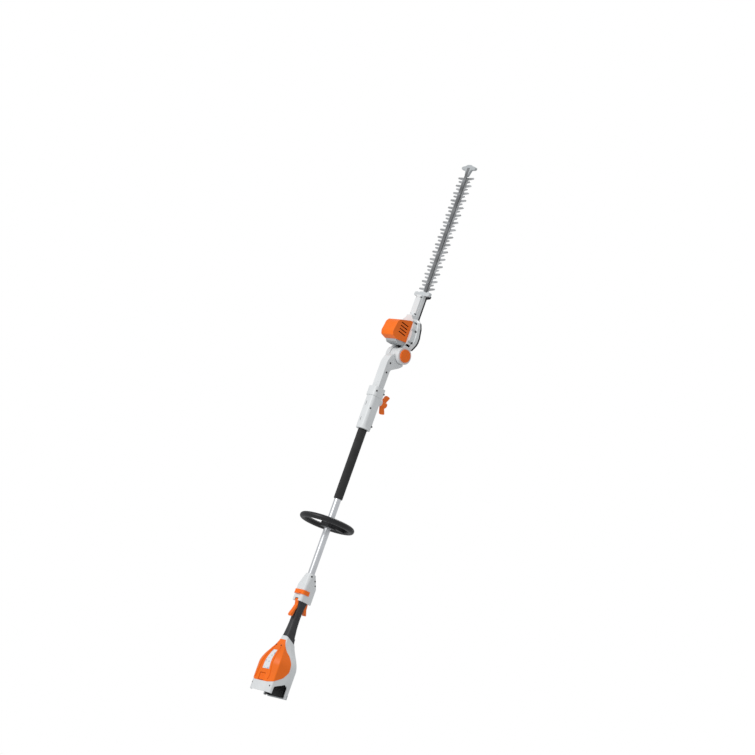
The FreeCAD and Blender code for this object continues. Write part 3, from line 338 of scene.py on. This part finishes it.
def new_piece(name, bm, finish, body):
    mesh = bpy.data.meshes.new(name)
    bm.normal_update()
    bm.to_mesh(mesh)
    bm.free()
    smooth(mesh, ADDED_SHARP_ABOVE)
    piece = bpy.data.objects.new(name, mesh)
    scene.collection.objects.link(piece)
    mesh.materials.append(finish.material)
    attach(piece, body)
    return piece


def skin_of(*names):
    """A ray-cast tree over the surfaces of some CAD nodes."""
    joined = bmesh.new()
    for name in names:
        joined.from_mesh(nodes[name].data)
    tree = BVHTree.FromBMesh(joined)
    joined.free()
    return tree


# Each side's value is the direction along Y in which a ray meets that side.
UPPER, LOWER = 1, -1
RAY_REACH = 0.2


def drop(tree, x, z, lift, side=UPPER):
    """The point where a ray from the upper or lower side meets the skin, lifted off it."""
    direction = Vector((0, side, 0))
    place, normal, _, _ = tree.ray_cast(Vector((x, -RAY_REACH * side, z)), direction)
    if place is None:
        return None
    if normal.dot(direction) > 0:
        normal = -normal
    return place + normal * lift


def ribbon(bm, rows):
    """A strip of quads through rows of points."""
    made = [[bm.verts.new(point) for point in row] for row in rows]
    for before, after in zip(made, made[1:]):
        for index in range(len(before) - 1):
            bm.faces.new((before[index], before[index + 1], after[index + 1], after[index]))


def band(bm, before, after):
    """A closed band of quads between two rings of the same number of vertices."""
    sides = len(before)
    for side in range(sides):
        following = (side + 1) % sides
        bm.faces.new((before[side], before[following], after[following], after[side]))


# Across a raised strip: the share of its half width, and of its lift, at each row of points.
STRIP_PROFILE = ((-1, 0.0), (-0.8, 1.0), (0, 1.15), (0.8, 1.0), (1, 0.0))
STRIP_SUNK = 0.15 * MM
END_WIDTH, END_TAPER = 0.25, 6


def strip_on_skin(name, tree, centre, half, start, end, lift, finish, body="frame",
                  side=UPPER, steps=40):
    """A raised strip that follows a skin; centre gives its x for a share of its length."""
    bm = bmesh.new()
    rows = []
    for step in range(steps + 1):
        share = step / steps
        station = start + (end - start) * share
        taper = min(1.0, END_TAPER * share + END_WIDTH, END_TAPER * (1 - share) + END_WIDTH)
        row = [drop(tree, centre(share) + half * taper * across, station,
                    lift * height - STRIP_SUNK, side) for across, height in STRIP_PROFILE]
        if all(row):
            rows.append(row)
    ribbon(bm, rows)
    bmesh.ops.recalc_face_normals(bm, faces=bm.faces)
    return new_piece(name, bm, finish, body)


# ---------------------------------------------------------------- rear housing details
# Starts, ends and pitches along the shaft are in metres, and so is a size times MM. Places aside
# and the label's widths are in millimetres.

RIDGE_START, RIDGE_END = 0.044, 0.176
RIDGE_HALF, RIDGE_LIFT = 4.5 * MM, 2.2 * MM
RIDGE_ASIDE, RIDGE_DRAWN_IN, RIDGE_CURVE = 33.5, 19.0, 1.6

LABEL_START, LABEL_LENGTH = 0.080, 0.076
LABEL_ASIDE, LABEL_ASIDE_LOST = 6.0, 3.0
LABEL_WIDTH, LABEL_WIDTH_LOST = 36.0, 16.0
LABEL_LIFT = 0.12 * MM
LABEL_ROWS, LABEL_COLUMNS = 14, 6


def cover_details():
    """Two ridges that draw together along the orange cover, and the label film."""
    tree = skin_of("top_cover")
    for side, name in ((1, "right"), (-1, "left")):
        strip_on_skin(
            f"cover_ridge_{name}", tree, lambda share, side=side:
            side * (RIDGE_ASIDE - RIDGE_DRAWN_IN * share ** RIDGE_CURVE) * MM,
            RIDGE_HALF, RIDGE_START, RIDGE_END, RIDGE_LIFT, ORANGE)
    bm = bmesh.new()
    rows = []
    for step in range(LABEL_ROWS + 1):
        share = step / LABEL_ROWS
        aside = LABEL_ASIDE - LABEL_ASIDE_LOST * share
        width = LABEL_WIDTH - LABEL_WIDTH_LOST * share
        rows.append([drop(tree, (aside + width * (across / LABEL_COLUMNS - 0.5)) * MM,
                          LABEL_START + LABEL_LENGTH * share, LABEL_LIFT)
                     for across in range(LABEL_COLUMNS + 1)])
    ribbon(bm, rows)
    new_piece("blank_label", bm, LABEL, "frame")


cover_details()

SOLE_RIBS_ASIDE = (-36.0, -18.0, 18.0, 36.0)
SOLE_RIB_START, SOLE_RIB_END = 0.022, 0.128
SOLE_RIB_HALF, SOLE_RIB_LIFT = 2.2 * MM, 0.8 * MM
SOLE_RIB_DRAWN_IN, SOLE_RIB_CURVE = 0.3, 3


def sole_ribs():
    """Lengthwise rubbing ribs under the rear housing."""
    tree = skin_of("rear_housing_left", "rear_housing_right")
    for number, x in enumerate(SOLE_RIBS_ASIDE):
        strip_on_skin(
            f"sole_rib_{number}", tree, lambda share, x=x:
            x * (1 - SOLE_RIB_DRAWN_IN * share ** SOLE_RIB_CURVE) * MM,
            SOLE_RIB_HALF, SOLE_RIB_START, SOLE_RIB_END, SOLE_RIB_LIFT, WHITE,
            side=LOWER)


sole_ribs()

# Place aside in millimetres, then start and end along the shaft in metres.
PLATE_RIBS = ((-34.0, 1.385, 1.425), (-22.0, 1.374, 1.440), (22.0, 1.374, 1.440),
              (34.0, 1.385, 1.425), (-7.0, 1.468, 1.562), (7.0, 1.468, 1.562))
PLATE_RIB_HALF, PLATE_RIB_LIFT = 2.4 * MM, 1.1 * MM


def plate_ribs():
    """Stiffening ribs pressed into the black plate under the gearbox."""
    tree = skin_of("gearbox_plate")
    for number, (x, start, end) in enumerate(PLATE_RIBS):
        strip_on_skin(f"plate_rib_{number}", tree, lambda share, x=x: x * MM, PLATE_RIB_HALF,
                      start, end, PLATE_RIB_LIFT, BLACK, "head", LOWER)


plate_ribs()

LATCH_RIBS, LATCH_RIB_SIDES = 5, 16
LATCH_RIB_START, LATCH_RIB_PITCH = 0.0415, 0.0038
LATCH_RIB_RADIUS, LATCH_RIB_LENGTH, LATCH_RIB_SUNK = 0.75 * MM, 22 * MM, 0.1 * MM


def latch_ribs():
    """Finger ribs across the battery latch."""
    low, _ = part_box("battery_latch")
    bm = bmesh.new()
    for number in range(LATCH_RIBS):
        station = LATCH_RIB_START + number * LATCH_RIB_PITCH
        place = Matrix.Translation((0, low[1] + LATCH_RIB_SUNK, station))
        crosswise = Matrix.Rotation(pi / 2, 4, "Y")
        bmesh.ops.create_cone(bm, cap_ends=True, segments=LATCH_RIB_SIDES,
                              radius1=LATCH_RIB_RADIUS, radius2=LATCH_RIB_RADIUS,
                              depth=LATCH_RIB_LENGTH, matrix=place @ crosswise)
    new_piece("latch_ribs", bm, ORANGE, "latch")


latch_ribs()

BEAD_SIDES = 10
BEAD_END = 0.15


def rounded_bead(bm, path, radius):
    """A closed bead along a path, narrowed at both ends."""
    rings = []
    last = len(path) - 1
    for index, point in enumerate(path):
        ahead = path[min(index + 1, last)] - path[max(index - 1, 0)]
        turn = ahead.to_track_quat("Z", "Y")
        swell = radius * min(1.0, BEAD_END + index, BEAD_END + last - index)
        rings.append([bm.verts.new(point + turn @ Vector(
            (cos(2 * pi * side / BEAD_SIDES), sin(2 * pi * side / BEAD_SIDES), 0)) * swell)
            for side in range(BEAD_SIDES)])
    for before, after in zip(rings, rings[1:]):
        band(bm, before, after)
    bm.faces.new(rings[0][::-1])
    bm.faces.new(rings[-1])


GRIP_RIBS = 13
GRIP_RIB_START, GRIP_RIB_PITCH = 0.232, 0.0064
GRIP_RIB_SWEEP, GRIP_RIB_STEPS = 58, 12
GRIP_RIB_RADIUS = 0.85 * MM
GRIP_RIB_SUNK = 0.25  # in millimetres
GRIP_REACH = 0.06
SHORTEST_RIB = 5


def grip_ribs():
    """Raised rubber ribs round both sides of the rear grip."""
    tree = skin_of("rear_grip")
    bm = bmesh.new()
    for number in range(GRIP_RIBS):
        station = GRIP_RIB_START + number * GRIP_RIB_PITCH
        for side in (-1, 1):
            path = []
            for step in range(GRIP_RIB_STEPS + 1):
                angle = radians(-GRIP_RIB_SWEEP + 2 * GRIP_RIB_SWEEP * step / GRIP_RIB_STEPS)
                out = Vector((side * cos(angle), sin(angle), 0))
                origin = Vector((0, 0, station)) + out * GRIP_REACH
                place, _, _, _ = tree.ray_cast(origin, -out)
                if place is not None:
                    path.append(place - out * GRIP_RIB_SUNK * MM)
            if len(path) >= SHORTEST_RIB:
                rounded_bead(bm, path, GRIP_RIB_RADIUS)
    new_piece("grip_ribs", bm, RUBBER, "frame")


grip_ribs()


# ---------------------------------------------------------------- pivot and coupling details

# Radius of each ring and of its bead, and how deep a ring sits in the face, in millimetres.
BUTTON_RINGS = ((17.0, 0.9), (7.0, 0.7))
BUTTON_RING_STEPS, BUTTON_RING_SUNK = 72, 0.2


def button_rings():
    """Concentric raised rings on the face of the tilt button."""
    low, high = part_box("tilt_button")
    centre = Vector((high[0], (low[1] + high[1]) / 2, (low[2] + high[2]) / 2))
    turns = [2 * pi * side / BEAD_SIDES for side in range(BEAD_SIDES)]
    bm = bmesh.new()
    for radius, bead in BUTTON_RINGS:
        rings = []
        for step in range(BUTTON_RING_STEPS):
            angle = 2 * pi * step / BUTTON_RING_STEPS
            out = Vector((0, cos(angle), sin(angle)))
            rings.append([bm.verts.new(
                centre + out * (radius + bead * cos(turn)) * MM
                + Vector(((bead * sin(turn) - BUTTON_RING_SUNK) * MM, 0, 0))) for turn in turns])
        for before, after in zip(rings, rings[1:] + rings[:1]):
            band(bm, before, after)
    bmesh.ops.recalc_face_normals(bm, faces=bm.faces)
    new_piece("button_rings", bm, ORANGE, "release")


button_rings()

# Name, then start and end along the shaft in metres.
COUPLING_SLOTS = (("rear", 1.046, 1.064), ("front", 1.108, 1.126))
SLOT_ASIDE, SLOT_HALF, SLOT_LIFT = -4.0 * MM, 1.1 * MM, 0.2 * MM


def painted_slot_shades():
    """Two narrow black strips on the upper side of the coupling, in place of its slots: painted
    shade for the shade inside each slot.
    """
    tree = skin_of("coupling_left", "coupling_right")
    for name, start, end in COUPLING_SLOTS:
        # The black finish here is painted shade where each slot would be, not a black part.
        strip_on_skin(f"painted_slot_shade_{name}", tree, lambda share: SLOT_ASIDE, SLOT_HALF,
                      start, end, SLOT_LIFT, BLACK, steps=12)


painted_slot_shades()


# ---------------------------------------------------------------- foam sleeve

SLEEVE_SIDES, SLEEVE_STEPS, NOSE_STEPS = 96, 60, 6
SLEEVE_NOSE = 3.2 * MM
SLEEVE_CLEAR = 0.02 * MM
SLEEVE_INSET = 0.25 * MM
WAVE_DEPTH, WAVES_ROUND, WAVE_TWIST, WAVES_ALONG = 0.10 * MM, 5, 60, 95
SEAM_DEPTH = 0.22 * MM


def sleeve_profile(radius, bore, length):
    """Distance from the axis and height of each ring, from the rear end to the front end."""
    turns = [pi / 2 * step / NOSE_STEPS for step in range(NOSE_STEPS + 1)]
    rear = [(radius - SLEEVE_NOSE + SLEEVE_NOSE * sin(turn), SLEEVE_NOSE - SLEEVE_NOSE * cos(turn))
            for turn in turns]
    straight = [(radius, SLEEVE_NOSE + (length - 2 * SLEEVE_NOSE) * step / SLEEVE_STEPS)
                for step in range(1, SLEEVE_STEPS)]
    front = [(radius - SLEEVE_NOSE + SLEEVE_NOSE * cos(turn),
              length - SLEEVE_NOSE + SLEEVE_NOSE * sin(turn)) for turn in turns]
    inner = bore + SLEEVE_CLEAR
    return [(inner, 0.0)] + rear + straight + front + [(inner, length)]


def foam_sleeve():
    """The foam sleeve, with soft rounded ends, slight waves and a moulding seam."""
    low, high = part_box("foam_grip")
    radius, bore = high[0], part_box("shaft_tube")[1][0]
    bm = bmesh.new()
    rings = []
    for distance, height in sleeve_profile(radius, bore, high[2] - low[2]):
        ring = []
        for side in range(SLEEVE_SIDES):
            angle = 2 * pi * side / SLEEVE_SIDES
            wave = (WAVE_DEPTH * sin(WAVES_ROUND * angle + height * WAVE_TWIST)
                    * sin(height * WAVES_ALONG))
            seam = SEAM_DEPTH if side % (SLEEVE_SIDES // 2) == 0 else 0.0
            out = distance
            if distance > bore + MM:
                out = distance - SLEEVE_INSET + wave - seam
            ring.append(bm.verts.new((out * cos(angle), out * sin(angle), low[2] + height)))
        rings.append(ring)
    for before, after in zip(rings, rings[1:]):
        band(bm, before, after)
    sleeve = new_piece("foam_sleeve", bm, FOAM, "frame")
    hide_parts("foam_grip")


foam_sleeve()


# ---------------------------------------------------------------- floor, light and camera

FLOOR_SIZE, FLOOR_HEIGHT = 600, -1.8
FILL_COLOUR, FILL_STRENGTH = (0.97, 0.985, 1.0, 1.0), 0.62
PAPER_COLOUR = (1.0, 1.0, 1.0, 1.0)


def stage():
    """A pale floor far below, and a world that is plain white to the camera."""
    bpy.ops.mesh.primitive_plane_add(size=FLOOR_SIZE, location=(0, 0, FLOOR_HEIGHT))
    floor = bpy.context.object
    floor.name = "floor"
    pale = Finish("pale_floor", (0.9, 0.9, 0.9), 0.9)
    floor.data.materials.append(pale.material)
    world = bpy.data.worlds.new("studio")
    scene.world = world
    world.use_nodes = True
    tree = world.node_tree
    fill = tree.nodes["Background"]
    fill.inputs["Color"].default_value = FILL_COLOUR
    fill.inputs["Strength"].default_value = FILL_STRENGTH
    paper = tree.nodes.new("ShaderNodeBackground")
    paper.inputs["Color"].default_value = PAPER_COLOUR
    seen = tree.nodes.new("ShaderNodeLightPath")
    mix = tree.nodes.new("ShaderNodeMixShader")
    tree.links.new(seen.outputs["Is Camera Ray"], mix.inputs["Fac"])
    tree.links.new(fill.outputs["Background"], mix.inputs[1])
    tree.links.new(paper.outputs["Background"], mix.inputs[2])
    tree.links.new(mix.outputs["Shader"], tree.nodes["World Output"].inputs["Surface"])


def area_light(name, place, target, width, power):
    data = bpy.data.lights.new(name, "AREA")
    data.shape = "DISK"
    data.size = width
    data.energy = power
    light = bpy.data.objects.new(name, data)
    light.location = place
    light.rotation_euler = (Vector(target) - Vector(place)).to_track_quat("-Z", "Y").to_euler()
    scene.collection.objects.link(light)


# Fitted to points measured in the photo, except the elevation, which those points hold weakly:
# it was chosen from the shape of the pivot disc and the loop.
CAMERA_AZIMUTH = radians(48.78)
CAMERA_ELEVATION = radians(-12.0)
CAMERA_DISTANCE = 10.5
CAMERA_LEAN = radians(19.612)
CAMERA_ANGLE = radians(14.978)
AIM_HEIGHT, AIM_ASIDE = 1.2219, -0.0127
FARTHEST_SEEN = 200
LIT_HEIGHT = 1.1


def camera_axes():
    """The camera's directions: back, level before its lean, and right and above after it."""
    back = Vector((sin(CAMERA_AZIMUTH) * cos(CAMERA_ELEVATION),
                   -cos(CAMERA_AZIMUTH) * cos(CAMERA_ELEVATION), sin(CAMERA_ELEVATION)))
    level = Vector((cos(CAMERA_AZIMUTH), sin(CAMERA_AZIMUTH), 0))
    upright = back.cross(level)
    right = level * cos(CAMERA_LEAN) + upright * sin(CAMERA_LEAN)
    above = upright * cos(CAMERA_LEAN) - level * sin(CAMERA_LEAN)
    return back, level, right, above


def place_camera():
    back, level, right, above = camera_axes()
    aim = Vector((0, 0, AIM_HEIGHT)) + level * AIM_ASIDE
    data = bpy.data.cameras.new("camera")
    data.sensor_width = 36
    data.angle = CAMERA_ANGLE
    data.clip_end = FARTHEST_SEEN
    camera = bpy.data.objects.new("camera", data)
    place = aim + back * CAMERA_DISTANCE
    camera.matrix_world = Matrix((
        (right.x, above.x, back.x, place.x), (right.y, above.y, back.y, place.y),
        (right.z, above.z, back.z, place.z), (0, 0, 0, 1)))
    scene.collection.objects.link(camera)
    scene.camera = camera
    return back, level, above


stage()
back, level, above = place_camera()
middle = Vector((0, 0, LIT_HEIGHT))
area_light("key", middle + back * 2.5 - level * 2.6 + above * 2.2, middle, width=1.4, power=110)
area_light("rim", middle - back * 2.0 + level * 1.5 + above * 2.5, middle, width=1.2, power=40)
scene.view_settings.view_transform = "Standard"
